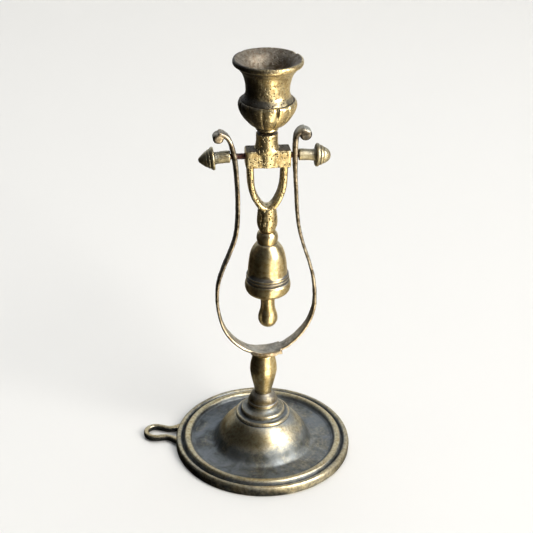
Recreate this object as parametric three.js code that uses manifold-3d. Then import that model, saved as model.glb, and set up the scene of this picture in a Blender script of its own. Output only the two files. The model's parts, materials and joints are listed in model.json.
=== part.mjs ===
// Ship's gimballed brass candlestick, in millimetres, +Z up.
//
// A turned dish base with a cast hanging loop carries a baluster stem. The stem is riveted to a
// lyre-shaped frame bent from flat strip. Two thumb screws pass through the upper ends of the lyre
// and hold a swinging head: a cross-head with a stirrup below it, a candle socket screwed on top
// and a bell-shaped counterweight screwed on below. The head swings about the X axis.
//
// The shapes are drawn about the stem's axis. The finished group is then moved sideways, so that
// the origin is the middle of the object's footprint.

import * as THREE from 'three';
import { mergeVertices } from 'three/addons/utils/BufferGeometryUtils.js';
import Module from 'manifold-3d';

// ---------------------------------------------------------------- driving dimensions

const BASE_RADIUS = 52;
const WALL = 2; // casting thickness of the base
const PAN_FLOOR = 4; // height of the drip pan's floor
const DOME_TOP = 30.5; // where the stem sits on the base

const LOOP_ANGLE = THREE.MathUtils.degToRad(169); // direction of the hanging loop
const LOOP_CENTRE = 65; // radius at which its ring is centred
const LOOP_OUTER = 7;
const LOOP_HOLE = 4.2;
const LOOP_BOTTOM = 1;
const LOOP_TOP = 4.6;

const TENON_RADIUS = 2.9; // stem tenon that goes through the base
const RIVET_RADIUS = 2.4; // stem tenon that goes through the lyre
const SEAT_HEIGHT = 64.2; // top of the stem, under the lyre

const STRIP_WIDTH = 8; // the lyre's flat strip, where it sits on the stem
const STRIP_THICKNESS = 1.7;
const PIVOT_SWELL = 0.35; // each face of the strip stands out by this more round the pivots
const SWELL_HEIGHTS = [172, 192]; // between which the strip grows thicker
const SEAT_WIDTH = 10.6; // the strip widens where it sits on the stem
const SEAT_EXTRA = 1.6; // and is thicker there
const SEAT_ENDS = [-7.4, 9.8];

const PIVOT_HEIGHT = 188.2;
const STUD_RADIUS = 1.75;
const STUD_HOLE = 2.1;
const STUD_DEPTH = 6.5; // how far a stud enters the cross-head

const HEAD_ENDS = [-11.6, 12.7]; // the cross-head's block, along the pivot axis
const HEAD_DEPTH = 10;
const HEAD_BOTTOM = 182.6;
const HEAD_TOP = 192.6;
const BOSS_RADIUS = 5.8;
const BOSS_TOP = 202.4;
const LEAN = THREE.MathUtils.degToRad(1.2); // the stirrup hangs a little out of line

const JOINT_GAP = 0.3; // between pieces that are screwed face to face
const THREAD_RADIUS = 2; // hidden connecting studs
const THREAD_HOLE = 2.2;

const SOCKET_FOOT = BOSS_TOP + JOINT_GAP;
const CANDLE_RADIUS = 9.75;
const CANDLE_SEAT = 214;
const LOBES = 12;
const LOBE_DEPTH = 0.07; // how far the grooves between lobes cut in, as a share of the radius
const LOBE_HEIGHTS = [205.4, 219.5];

const NECK_BOTTOM = 143.6; // where the bell is screwed to the stirrup
const BELL_LIP = 102.8; // the bell's lower edge, where the drop is screwed in

const ROUND = 28; // segments round a turned piece
const BASE_ROUND = 40;

// ---------------------------------------------------------------- materials

const brass = (color, roughness) => new THREE.MeshStandardMaterial({ color, roughness, metalness: 1 });
const agedBrass = brass(0x9a8350, 0.38);
const baseBrass = brass(0x7f7a66, 0.34);
const darkBrass = brass(0x5f5236, 0.5);
const rustySteel = brass(0x5a3a30, 0.7);
const lead = brass(0x55565a, 0.75);

// ---------------------------------------------------------------- helpers

const wasm = await Module();
wasm.setup();

// A closed three.js geometry as a manifold solid.
function solid(geometry) {
  geometry.deleteAttribute('normal');
  geometry.deleteAttribute('uv');
  const merged = mergeVertices(geometry, 1e-4);
  const index = merged.index.array;
  const triangles = [];
  for (let i = 0; i < index.length; i += 3) {
    const [a, b, c] = [index[i], index[i + 1], index[i + 2]];
    const hasArea = a !== b && b !== c && c !== a;
    if (hasArea) triangles.push(a, b, c);
  }
  return new wasm.Manifold(new wasm.Mesh({
    numProp: 3,
    vertProperties: Float32Array.from(merged.attributes.position.array),
    triVerts: Uint32Array.from(triangles),
  }));
}

// A named mesh from a manifold solid.
function piece(name, manifold, material) {
  const { vertProperties, triVerts } = manifold.getMesh();
  const geometry = new THREE.BufferGeometry();
  geometry.setAttribute('position', new THREE.BufferAttribute(vertProperties, 3));
  geometry.setIndex(new THREE.BufferAttribute(triVerts, 1));
  geometry.computeVertexNormals();
  const mesh = new THREE.Mesh(geometry, material);
  mesh.name = name;
  return mesh;
}

// Points along a smooth curve through a few given ones.
function smooth(points, count = points.length * 3) {
  const curve = new THREE.SplineCurve(points.map(([x, y]) => new THREE.Vector2(x, y)));
  return curve.getPoints(count).map((p) => [p.x, p.y]);
}

// A solid turned about Z from its [radius, height] outline, which runs with the metal on its left.
function turned(outline, segments = ROUND) {
  const points = outline.map(([r, z]) => new THREE.Vector2(r, z));
  const geometry = new THREE.LatheGeometry(points, segments);
  geometry.rotateX(Math.PI / 2);
  return geometry;
}

// A flat outline in the XZ plane, given thickness along Y about y = 0.
function slab(shape, width, curveSegments = 8) {
  const geometry = new THREE.ExtrudeGeometry(shape, { depth: width, bevelEnabled: false, curveSegments });
  geometry.rotateX(Math.PI / 2);
  geometry.translate(0, width / 2, 0);
  return geometry;
}

const shapeOf = (points) => new THREE.Shape(points.map(([x, y]) => new THREE.Vector2(x, y)));

// A round bar along Z between two heights, or along X between two places.
const barZ = (radius, low, high, segments = 20) => (
  solid(turned([[0, low], [radius, low], [radius, high], [0, high]], segments)));

const barX = (radius, from, to, height, segments = 20) => {
  const geometry = turned([[0, from], [radius, from], [radius, to], [0, to]], segments);
  geometry.rotateY(Math.PI / 2);
  geometry.translate(0, 0, height);
  return solid(geometry);
};

// ---------------------------------------------------------------- base

const baseOutline = [
  [TENON_RADIUS + 0.3, DOME_TOP - 6.5],
  [9, DOME_TOP - 6.5],
  ...smooth([[13.6, 20.8], [17.4, 17.6], [21, 14], [24, 9.8], [26.4, 5], [30, WALL]], 6),
  [47.4, WALL],
  [48.8, 0],
  [51.4, 0],
  [BASE_RADIUS, 0.9],
  [BASE_RADIUS, 4.4],
  [51.3, 5.6],
  [49.9, 6],
  [48.5, 5.4],
  [48, 4.2],
  [47.3, 4.2],
  ...smooth([[47, 5.6], [46.3, 6.7], [44.8, 7.1], [43.3, 6.6], [42.5, 5]], 5),
  [41.4, PAN_FLOOR],
  [31, PAN_FLOOR],
  ...smooth([[29, 4.6], [27.6, 7], [25.6, 11], [22.6, 15.3], [19, 19.2], [16.2, 21.8]], 7),
  ...smooth([[15.6, 22.4], [15.9, 23.3], [15.2, 24], [13.9, 24.3]], 3),
  [12.7, 25.2],
  [12.6, 26.4],
  [11.9, 27.2],
  ...smooth([[10.4, 27.6], [9.2, 28.4], [8.5, 29.6], [8.3, DOME_TOP]], 3),
  [TENON_RADIUS + 0.3, DOME_TOP],
];

function hangingLoop() {
  const shape = new THREE.Shape();
  const start = BASE_RADIUS - 2.5;
  shape.moveTo(start, -9.5);
  shape.quadraticCurveTo(54, -6.2, 58.5, -6);
  shape.lineTo(LOOP_CENTRE, -LOOP_OUTER);
  shape.absarc(LOOP_CENTRE, 0, LOOP_OUTER, -Math.PI / 2, Math.PI / 2);
  shape.lineTo(58.5, 6);
  shape.quadraticCurveTo(54, 6.2, start, 9.5);
  const hole = new THREE.Path();
  hole.absarc(LOOP_CENTRE, 0, LOOP_HOLE, -2, 2);
  hole.absarc(58.2, 0, 2.8, Math.PI / 2, -Math.PI / 2);
  shape.holes.push(hole);
  const thickness = LOOP_TOP - LOOP_BOTTOM;
  const geometry = new THREE.ExtrudeGeometry(shape, { depth: thickness, bevelEnabled: false, curveSegments: 14 });
  geometry.translate(0, 0, LOOP_BOTTOM);
  geometry.rotateZ(LOOP_ANGLE);
  return solid(geometry);
}

const base = solid(turned([...baseOutline, baseOutline[0]], BASE_ROUND)).add(hangingLoop());

// ---------------------------------------------------------------- stem and its fixing

const TENON_END = 15;
const NUT_TOP = DOME_TOP - 6.5 - 1.5;

const stem = solid(turned([
  [0, TENON_END],
  [TENON_RADIUS, TENON_END],
  [TENON_RADIUS, DOME_TOP],
  [8.6, DOME_TOP],
  [9, 31.2],
  [8.5, 32.3],
  ...smooth([[7.7, 34.6], [6, 36.8], [4.8, 38], [5, 39.8]], 4),
  ...smooth([[6, 43.7], [7.1, 48.4], [7.85, 53.6], [7.5, 57.8], [6.6, 61.6], [6.1, SEAT_HEIGHT]], 7),
  [RIVET_RADIUS, SEAT_HEIGHT],
  [RIVET_RADIUS, 67],
  [0, 67],
]));

const washer = solid(turned([
  [TENON_RADIUS + 0.3, NUT_TOP + 0.1],
  [7.5, NUT_TOP + 0.1],
  [7.5, NUT_TOP + 1.3],
  [TENON_RADIUS + 0.3, NUT_TOP + 1.3],
  [TENON_RADIUS + 0.3, NUT_TOP + 0.1],
], 24));

const nut = solid(turned([[0, NUT_TOP - 4.5], [6, NUT_TOP - 4.5], [6, NUT_TOP], [0, NUT_TOP]], 6))
  .subtract(barZ(TENON_RADIUS + 0.2, NUT_TOP - 5, NUT_TOP + 0.5));

// ---------------------------------------------------------------- lyre frame

// The middle of the strip, [x, z], from the left arm's curl down, round the bottom and up again.
const lyreLine = [
  [-25.4, 202.1], [-23.7, 201.6], [-21.4, 199.7], [-19.5, 196.3], [-18, 191], [-17, 185], [-16, 174],
  [-15.4, 160], [-15.7, 148], [-17, 139], [-20, 130], [-23.6, 120.6], [-26.3, 111], [-26.9, 102],
  [-26.1, 93], [-23.2, 82.5], [-17.6, 74], [-9.5, 67.9], [0, 65.9], [10, 68], [18.3, 74.3],
  [25, 83.4], [28.2, 93], [28.6, 101.5], [27.6, 112], [25, 122.6], [21.6, 133], [18.9, 143],
  [17.3, 154], [16.4, 167], [15.5, 180], [15.3, 190], [15.4, 197.2], [16.1, 200.4], [17.8, 202.5],
  [19.6, 203],
];
const LYRE_STEPS = 72;

// The strip is narrower along the arms than at its ends: [height, half width].
const stripHalfWidths = [[60, 4], [69, 4], [84, 3.1], [110, 2.9], [150, 2.9], [182, 3.5], [210, 3.6]];

const leftCurl = { x: -26, z: 199.5, radius: 3.4 };
const rightCurl = { x: 20.5, z: 200.4, radius: 3.4 };

// A bar that follows that line, its faces at these distances inside and outside it.
function stripSolid(inside, outside, width) {
  const curve = new THREE.SplineCurve(lyreLine.map(([x, z]) => new THREE.Vector2(x, z)));
  const outer = [];
  const inner = [];
  for (let i = 0; i <= LYRE_STEPS; i += 1) {
    const at = curve.getPointAt(i / LYRE_STEPS);
    const along = curve.getTangentAt(i / LYRE_STEPS);
    const inwards = new THREE.Vector2(-along.y, along.x);
    const swell = PIVOT_SWELL * THREE.MathUtils.smoothstep(at.y, ...SWELL_HEIGHTS);
    outer.push([at.x - inwards.x * (outside + swell), at.y - inwards.y * (outside + swell)]);
    inner.unshift([at.x + inwards.x * (inside + swell), at.y + inwards.y * (inside + swell)]);
  }
  return solid(slab(shapeOf([...outer, ...inner]), width));
}

function roll({ x, z, radius }) {
  const shape = new THREE.Shape();
  shape.absarc(x, z, radius, 0, Math.PI * 2);
  return solid(slab(shape, STRIP_WIDTH, 16));
}

// Everything between the strip's two edges, as seen from the side.
function betweenEdges() {
  const front = stripHalfWidths.map(([z, half]) => [half, z]);
  const back = stripHalfWidths.map(([z, half]) => [-half, z]).reverse();
  const geometry = slab(shapeOf([...front, ...back]), 100);
  geometry.rotateZ(Math.PI / 2);
  return solid(geometry);
}

function lyreFrame() {
  const [left, right] = SEAT_ENDS;
  const window = solid(slab(shapeOf([[left, 60], [right, 60], [right, 72], [left, 72]]), SEAT_WIDTH));
  const aboveStem = solid(slab(shapeOf([[-40, SEAT_HEIGHT], [40, SEAT_HEIGHT], [40, 90], [-40, 90]]), 20));
  const half = STRIP_THICKNESS / 2;
  const seat = stripSolid(half, half + SEAT_EXTRA, SEAT_WIDTH).intersect(window).intersect(aboveStem);
  return stripSolid(half, half, STRIP_WIDTH)
    .add(roll(leftCurl))
    .add(roll(rightCurl))
    .intersect(betweenEdges())
    .add(seat)
    .subtract(barZ(RIVET_RADIUS + 0.3, 60, 70))
    .subtract(barX(STUD_HOLE, -40, 40, PIVOT_HEIGHT));
}

// ---------------------------------------------------------------- thumb screws

// Both screws are drawn pointing up, from the cross-head outwards, and then laid along X.
const STUD_TIP = 3.2; // how far a stud enters its knob
const KNOB_FLANGE = 6.3;
const SHANK = 3.3;

// Old knocks have bent the knobs a little downwards, each by an angle at a place along its shank.
// The end of the shank that faces the strip is still square to the pivot axis.
const leftKnob = { start: 19.7, droop: THREE.MathUtils.degToRad(6), bentAt: 22 };
const rightKnob = { start: 17.2, droop: THREE.MathUtils.degToRad(4), bentAt: 19.5 };
const BEND_OVERLAP = 0.4; // of the shank's straight part and its bent part

// A round bar on the pivot axis, from one distance from the stem's axis to a greater one.
function pivotBar(radius, near, far, direction) {
  const [from, to] = direction > 0 ? [near, far] : [-far, -near];
  return barX(radius, from, to, PIVOT_HEIGHT, 24);
}

const stud = (headEnd, knobStart, direction) => (
  pivotBar(STUD_RADIUS, headEnd - STUD_DEPTH, knobStart + STUD_TIP, direction));

// The knob's outline beyond its shank differs from side to side: one is pointed, one is blunt.
function knob({ start, droop, bentAt }, headOutline, direction) {
  const bent = bentAt - BEND_OVERLAP;
  const geometry = turned([[0, bent], [SHANK, bent], [SHANK, headOutline[0][1]], ...headOutline], 24);
  geometry.translate(0, 0, -bentAt);
  geometry.rotateY(direction * droop);
  geometry.translate(0, 0, bentAt);
  geometry.rotateY(direction * Math.PI / 2);
  geometry.translate(0, 0, PIVOT_HEIGHT);
  return solid(geometry)
    .add(pivotBar(SHANK, start, bentAt + BEND_OVERLAP, direction))
    .subtract(pivotBar(STUD_RADIUS + 0.1, start - 1, start + STUD_TIP + 0.2, direction));
}

const pointedHead = [
  [5.9, 28.1], [KNOB_FLANGE, 28.5], [6.2, 29.3], [5.4, 30.2], [5.2, 30.6], [4.6, 31.6], [4.2, 32],
  [3.5, 33.2], [2.2, 35.1], [0.9, 36.3], [0, 36.6],
];
const bluntHead = [
  [5.9, 26.3], [KNOB_FLANGE, 26.7], [KNOB_FLANGE, 27.9], [5.5, 28.6], [5.4, 29.2], [5, 30],
  [4.6, 30.4], [3.9, 32], [2.6, 33.5], [1.2, 34.3], [0, 34.5],
];

// ---------------------------------------------------------------- swinging head

// Turns a solid or a group by the lean of the stirrup, about the pivot axis' middle.
const leanMatrix = new THREE.Matrix4().makeTranslation(0, 0, PIVOT_HEIGHT)
  .multiply(new THREE.Matrix4().makeRotationY(-LEAN))
  .multiply(new THREE.Matrix4().makeTranslation(0, 0, -PIVOT_HEIGHT));

function stirrup() {
  const outer = shapeOf([
    [-10.9, HEAD_BOTTOM + 2],
    ...smooth([[-10.8, 178], [-10.4, 171], [-9, 166], [-6.6, 161.4], [-4.4, 157.5]], 7),
    ...smooth([[4.4, 157.5], [6.6, 161.4], [9, 166], [10.4, 171], [11.1, 178]], 7),
    [11.5, HEAD_BOTTOM + 2],
  ]);
  const gap = new THREE.Path([
    [-7.1, HEAD_BOTTOM],
    ...smooth([[-7, 177], [-6.8, 171.7], [-5.5, 166.6], [-3, 161.6], [0, 159.4],
      [3, 161.6], [5.5, 166.6], [6.9, 171.7], [7.4, 177]], 14),
    [7.6, HEAD_BOTTOM],
  ].map(([x, z]) => new THREE.Vector2(x, z)));
  outer.holes.push(gap);
  return slab(outer, HEAD_DEPTH - 1.4);
}

function neck() {
  return turned([
    [0, NECK_BOTTOM],
    [4.3, NECK_BOTTOM],
    [4.6, 144.6],
    ...smooth([[5.3, 146.4], [5.7, 148.8], [5.5, 152.4], [5, 157.6]], 5),
    [4.2, 160],
    [0, 160],
  ]);
}

function crossHead() {
  const [left, right] = HEAD_ENDS;
  const block = slab(shapeOf([
    [left, HEAD_BOTTOM + 1], [left + 1, HEAD_BOTTOM], [right - 1, HEAD_BOTTOM], [right, HEAD_BOTTOM + 1],
    [right, HEAD_TOP - 0.6], [right - 0.6, HEAD_TOP], [left + 0.6, HEAD_TOP], [left, HEAD_TOP - 0.6],
  ]), HEAD_DEPTH);
  const boss = turned([
    [0, HEAD_BOTTOM], [BOSS_RADIUS, HEAD_BOTTOM], [BOSS_RADIUS, HEAD_TOP], [BOSS_RADIUS + 0.6, HEAD_TOP],
    [BOSS_RADIUS, HEAD_TOP + 2], [BOSS_RADIUS, BOSS_TOP - 0.5], [BOSS_RADIUS - 0.5, BOSS_TOP], [0, BOSS_TOP],
  ]);
  const opening = shapeOf([[-7, 165], [7.4, 165], [7.4, HEAD_BOTTOM], [-7, HEAD_BOTTOM]]);
  const hanging = [stirrup(), neck()].map((g) => solid(g.applyMatrix4(leanMatrix)));
  const threadBelow = turned([[0, 140], [THREAD_HOLE, 140], [THREAD_HOLE, 153.4], [0, 153.4]], 24);
  return solid(block)
    .add(solid(boss))
    .add(hanging[0])
    .add(hanging[1].subtract(solid(slab(opening, 20))))
    .subtract(barZ(THREAD_HOLE, BOSS_TOP - 7, BOSS_TOP + 1))
    .subtract(solid(threadBelow.applyMatrix4(leanMatrix)))
    .subtract(barX(STUD_HOLE, left - 1, left + STUD_DEPTH + 0.5, PIVOT_HEIGHT))
    .subtract(barX(STUD_HOLE, right - STUD_DEPTH - 0.5, right + 1, PIVOT_HEIGHT));
}

// ---------------------------------------------------------------- candle socket

// Twelve gadroon lobes round the bowl, one of them facing front (-Y).
function gadroon(geometry) {
  const [low, high] = LOBE_HEIGHTS;
  const at = geometry.attributes.position;
  for (let i = 0; i < at.count; i += 1) {
    const [x, y, z] = [at.getX(i), at.getY(i), at.getZ(i)];
    const isOutside = Math.hypot(x, y) > 5 && z > low && z < high && !isInBore(x, y, z);
    if (!isOutside) continue;
    const angle = Math.atan2(x, -y);
    const strength = Math.sin(Math.PI * (z - low) / (high - low)) ** 0.5;
    const valley = 1 - Math.abs(Math.cos(angle * LOBES / 2));
    const scale = 1 - LOBE_DEPTH * strength * valley;
    at.setXY(i, x * scale, y * scale);
  }
  return geometry;
}

const isInBore = (x, y, z) => Math.hypot(x, y) < CANDLE_RADIUS + 0.1 && z > CANDLE_SEAT - 0.1;

const socketOutline = [
  [0, SOCKET_FOOT + 6],
  [THREAD_HOLE, SOCKET_FOOT + 6],
  [THREAD_HOLE, SOCKET_FOOT],
  [5.5, SOCKET_FOOT],
  [5.9, SOCKET_FOOT + 0.8],
  [5.8, SOCKET_FOOT + 2.2],
  ...smooth([[6.6, 205.4], [8.7, 206.4], [10.7, 208.2], [12.6, 210.4], [14.2, 212.8]], 5),
  ...smooth([[15.3, 215.2], [15.6, 217.6], [15.3, 219.6], [14.5, 220.4]], 4),
  [12.9, 221.2],
  ...smooth([[12.1, 222.6], [11.7, 224.6], [11.8, 228], [12.5, 231.5], [14, 235.2], [16.2, 238]], 6),
  [18, 238.8],
  [18.5, 239.7],
  [18.5, 241.1],
  [18, 242.1],
  [17.1, 242.3],
  ...smooth([[16.4, 241.9], [13.6, 240], [11.4, 237], [10.2, 233.4], [CANDLE_RADIUS, 229.5]], 4),
  [CANDLE_RADIUS, CANDLE_SEAT],
  [0, CANDLE_SEAT],
];
const socket = solid(gadroon(turned(socketOutline, LOBES * 4)));
const socketStud = barZ(THREAD_RADIUS, BOSS_TOP - 6.6, SOCKET_FOOT + 5.6);

// ---------------------------------------------------------------- counterweight

const BELL_TOP = NECK_BOTTOM - JOINT_GAP;
const CORE_TOP = 132;
const PLUG_TOP = 107;

const bell = turned([
  [THREAD_HOLE, BELL_TOP],
  [THREAD_HOLE, 134.4],
  ...smooth([[3.8, 133.6], [5.6, 130], [7.2, 124.6], [7.7, 118], [7.8, 110], [7.4, 106.5]], 5),
  [5.4, 105],
  [5.4, BELL_LIP],
  [6.4, BELL_LIP],
  [6.9, 104],
  ...smooth([[9, 104.6], [11.2, 105.6], [12.6, 107.4], [12.9, 109.8], [12.7, 112]], 5),
  [12.1, 113.2],
  [11.6, 114.2],
  ...smooth([[11.9, 115], [12, 116.1], [11.3, 117.2]], 3),
  ...smooth([[11, 119.5], [10.6, 124.6], [9.8, 129], [8.6, 132.4], [6.7, 135.3]], 5),
  [5.4, 136.2],
  ...smooth([[5.6, 137.2], [5.95, 139.4], [5.5, 141.8], [5, 142.8]], 4),
  [4.6, BELL_TOP],
  [THREAD_HOLE, BELL_TOP],
]);

const core = turned([
  [0, PLUG_TOP + 0.2],
  [6.9, PLUG_TOP + 0.2],
  ...smooth([[7.4, 110], [7.3, 118], [6.8, 124.4], [5.3, 129.4], [3.4, CORE_TOP]], 5),
  [0, CORE_TOP],
], 24);

const weightStud = turned([
  [0, CORE_TOP + 1], [THREAD_RADIUS, CORE_TOP + 1], [THREAD_RADIUS, 153], [0, 153],
], 24);

const drop = turned([
  ...smooth([[0, 82.5], [2.2, 82.8], [4.3, 84.3], [5.6, 87.6], [5.2, 90.8], [4.3, 94.4], [3.9, 97.6],
    [4.1, 101.4]], 10),
  [4.9, 102.2],
  [5.1, PLUG_TOP],
  [0, PLUG_TOP],
]);

// ---------------------------------------------------------------- assembly

const object = new THREE.Group();

object.add(piece('base_dish', base, baseBrass));
object.add(piece('stem', stem, agedBrass));
object.add(piece('stem_washer', washer, agedBrass));
object.add(piece('stem_nut', nut, darkBrass));
object.add(piece('lyre_frame', lyreFrame(), agedBrass));

object.add(piece('left_pivot_stud', stud(-HEAD_ENDS[0], leftKnob.start, -1), rustySteel));
object.add(piece('left_knob', knob(leftKnob, pointedHead, -1), agedBrass));
object.add(piece('right_pivot_stud', stud(HEAD_ENDS[1], rightKnob.start, 1), rustySteel));
object.add(piece('right_knob', knob(rightKnob, bluntHead, 1), agedBrass));

object.add(piece('cross_head', crossHead(), agedBrass));
object.add(piece('socket_stud', socketStud, rustySteel));
object.add(piece('candle_socket', socket, darkBrass));

const weight = new THREE.Group();
weight.applyMatrix4(leanMatrix);
weight.add(piece('weight_stud', solid(weightStud), rustySteel));
weight.add(piece('weight_bell', solid(bell), agedBrass));
weight.add(piece('weight_core', solid(core), lead));
weight.add(piece('weight_drop', solid(drop), agedBrass));
object.add(weight);

// The loop makes the footprint lopsided, so the origin moves to the footprint's middle.
const footprint = new THREE.Box3().setFromObject(object);
object.position.x = -(footprint.min.x + footprint.max.x) / 2;

export default object;
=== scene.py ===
"""A ship's gimballed brass candlestick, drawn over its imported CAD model.

Lengths in the outlines are millimetres in the CAD frame, with radii about the piece's own axis.
"""

import json
import math

import bmesh
import bpy
import numpy as np
from mathutils import Matrix, Vector, noise


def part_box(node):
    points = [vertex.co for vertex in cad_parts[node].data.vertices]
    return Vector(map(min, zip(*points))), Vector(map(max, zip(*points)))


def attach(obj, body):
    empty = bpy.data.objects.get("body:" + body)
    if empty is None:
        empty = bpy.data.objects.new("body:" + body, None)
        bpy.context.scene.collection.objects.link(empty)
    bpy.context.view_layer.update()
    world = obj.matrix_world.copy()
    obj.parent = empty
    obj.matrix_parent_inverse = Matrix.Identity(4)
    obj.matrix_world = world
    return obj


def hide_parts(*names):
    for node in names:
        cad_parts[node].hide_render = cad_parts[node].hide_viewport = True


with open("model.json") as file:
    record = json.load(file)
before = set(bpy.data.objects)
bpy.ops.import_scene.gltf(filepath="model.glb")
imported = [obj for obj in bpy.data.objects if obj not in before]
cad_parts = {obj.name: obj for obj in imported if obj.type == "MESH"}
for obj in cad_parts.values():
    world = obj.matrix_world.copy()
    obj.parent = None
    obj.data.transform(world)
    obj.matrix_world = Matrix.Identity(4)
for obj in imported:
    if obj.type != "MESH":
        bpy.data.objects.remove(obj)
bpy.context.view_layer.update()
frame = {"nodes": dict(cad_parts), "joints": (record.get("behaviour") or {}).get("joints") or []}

MM = 0.001

# ------------ places, from the CAD model

stem_low, stem_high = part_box("stem")
AXIS_X = (stem_low.x + stem_high.x) / 2 / MM  # the stem's axis
SWING = next(j for j in frame["joints"] if j["name"] == "gimbal_swing")
PIVOT_Z = SWING["pos_m"][2] / MM
DOME_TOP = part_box("base_dish")[1].z / MM
SOCKET_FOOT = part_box("candle_socket")[0].z / MM
LINING_FROM = SOCKET_FOOT + 10  # above this, what faces the axis is the inside of the socket
BOSS_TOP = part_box("cross_head")[1].z / MM
LEAN = math.radians(1.2)  # the stirrup and the weight hang a little out of line


# ------------ camera

LENS = 84.4
SENSOR = 36.0
CAMERA_AT = (-64.6, -609.7, 452.9)
LOOK = Vector((0.1072, 0.8731, -0.4755))
ROLL = math.radians(0.92)


def add_object(name, data):
    made = bpy.data.objects.new(name, data)
    bpy.context.scene.collection.objects.link(made)
    return made


def make_camera():
    data = bpy.data.cameras.new("camera")
    data.lens = LENS
    data.sensor_width = SENSOR
    data.clip_start = 0.01
    camera = add_object("camera", data)
    level = LOOK.cross(Vector((0, 0, 1))).normalized()
    upright = level.cross(LOOK).normalized()
    right = level * math.cos(ROLL) + upright * math.sin(ROLL)
    up = upright * math.cos(ROLL) - level * math.sin(ROLL)
    turn = Matrix((right, up, -LOOK.normalized())).transposed().to_4x4()
    camera.matrix_world = Matrix.Translation(Vector(CAMERA_AT) * MM) @ turn
    bpy.context.scene.camera = camera


make_camera()


# ------------ outlines

def spline(points, step=0.5):
    """Points about step apart on a smooth curve through the given ones."""
    p = [np.array(q, float) for q in points]
    p = [2 * p[0] - p[1]] + p + [2 * p[-1] - p[-2]]
    made = []
    for a, b, c, d in zip(p, p[1:], p[2:], p[3:]):
        count = max(2, math.ceil(np.linalg.norm(c - b) / step))
        for i in range(count):
            t = i / count
            made.append(0.5 * (2 * b + (c - a) * t + (2 * a - 5 * b + 4 * c - d) * t * t
                               + (3 * b - a - 3 * c + d) * t ** 3))
    made.append(p[-2])
    return [tuple(q) for q in made]


def rounded(points, radius):
    """The same outline with its corners rounded off, its ends left alone."""
    steps, nearly_straight = 3, 0.97
    p = [np.array(q, float) for q in points]
    made = [p[0]]
    for a, b, c in zip(p, p[1:], p[2:]):
        before, after = np.linalg.norm(b - a), np.linalg.norm(c - b)
        if before < 1e-6 or after < 1e-6:
            continue
        bend = np.dot(b - a, c - b) / before / after
        if bend > nearly_straight:
            made.append(b)
            continue
        start = b + (a - b) * min(radius, before / 2) / before
        end = b + (c - b) * min(radius, after / 2) / after
        for i in range(steps + 1):
            t = i / steps
            made.append((1 - t) ** 2 * start + 2 * t * (1 - t) * b + t * t * end)
    made.append(p[-1])
    return [tuple(q) for q in made]


def divided(points, step):
    """The same outline with its long straight stretches cut into short ones."""
    made = [points[0]]
    for a, b in zip(points, points[1:]):
        a, b = np.array(a, float), np.array(b, float)
        count = max(1, math.ceil(np.linalg.norm(b - a) / step))
        made += [tuple(a + (b - a) * i / count) for i in range(1, count + 1)]
    return made


# ------------ meshes

def mesh_object(name, vertices, faces):
    """A smooth-shaded object from vertices in millimetres."""
    mesh = bpy.data.meshes.new(name)
    mesh.from_pydata([(x * MM, y * MM, z * MM) for x, y, z in vertices], [], faces)
    mesh.validate()
    mesh.update()
    mesh.polygons.foreach_set("use_smooth", [True] * len(mesh.polygons))
    return add_object(name, mesh)


def tube_faces(rows, around, clockwise=False):
    """Faces of a tube, closed at both ends, over rows of points that follow each other. Each row
    runs counter-clockwise seen from the last one, or clockwise."""
    faces = []
    for i in range(rows - 1):
        for k in range(around):
            n = (k + 1) % around
            face = [i * around + k, i * around + n, (i + 1) * around + n, (i + 1) * around + k]
            faces.append(face[:1] + face[:0:-1] if clockwise else face)
    first, last = list(range(around)), [(rows - 1) * around + k for k in range(around)]
    return faces + ([first, last[::-1]] if clockwise else [first[::-1], last])


def revolve_data(outline, segments, warp=None):
    """Vertices and faces of a turned solid about Z, from an outline that starts and ends on the
    axis or closes on itself, with the metal on its left."""
    closes = np.allclose(outline[0], outline[-1])
    rows = outline[:-1] if closes else outline
    vertices, rings = [], []
    for r, z in rows:
        if r < 1e-6:
            rings.append([len(vertices)] * segments)
            vertices.append((0, 0, z))
            continue
        ring = []
        for k in range(segments):
            angle = 2 * math.pi * k / segments
            x, y, height = r * math.cos(angle), r * math.sin(angle), z
            if warp:
                x, y, height = warp(x, y, height)
            ring.append(len(vertices))
            vertices.append((x, y, height))
        rings.append(ring)
    pairs = list(zip(rings, rings[1:])) + ([(rings[-1], rings[0])] if closes else [])
    faces = []
    for low, high in pairs:
        for k in range(segments):
            n = (k + 1) % segments
            face = [low[k], low[n], high[n], high[k]]
            face = [v for i, v in enumerate(face) if v != face[i - 1]]
            if len(face) > 2:
                faces.append(face)
    return vertices, faces


def revolve(name, outline, segments, warp=None, place=None, *, corner, step=0.6):
    """A turned piece. It is rounded at its corners, warped about Z and then put in its place."""
    outline = divided(rounded(outline, corner), step)
    vertices, faces = revolve_data(outline, segments, warp)
    made = mesh_object(name, vertices, faces)
    made.data.transform(place or on_axis())
    return made


def on_axis():
    return Matrix.Translation((AXIS_X * MM, 0, 0))


def turned_at_pivot(angle):
    return Matrix.Translation((AXIS_X * MM, 0, PIVOT_Z * MM)) @ Matrix.Rotation(angle, 4, "Y")


def leaning():
    """On the axis, and turned with the hanging stirrup about the pivot."""
    return turned_at_pivot(-LEAN) @ Matrix.Translation((0, 0, -PIVOT_Z * MM))


def outwards(direction):
    """Turns a piece drawn along Z, outwards from the cross-head, onto the pivot axis."""
    return turned_at_pivot(direction * math.pi / 2)


def cast_skin(amount, scale, seed):
    """A warp that gives a cast or hand-finished surface its slight unevenness."""
    shift = Vector((seed * 17.3, seed * 5.1, seed * 9.7))

    def warp(x, y, z):
        n = noise.noise(Vector((x, y, z)) * scale + shift)
        fine = noise.noise(Vector((x, y, z)) * scale * 3.1 + shift)
        r = math.hypot(x, y) or 1
        k = 1 + amount * (n + 0.4 * fine) / r
        return x * k, y * k, z
    return warp


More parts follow.
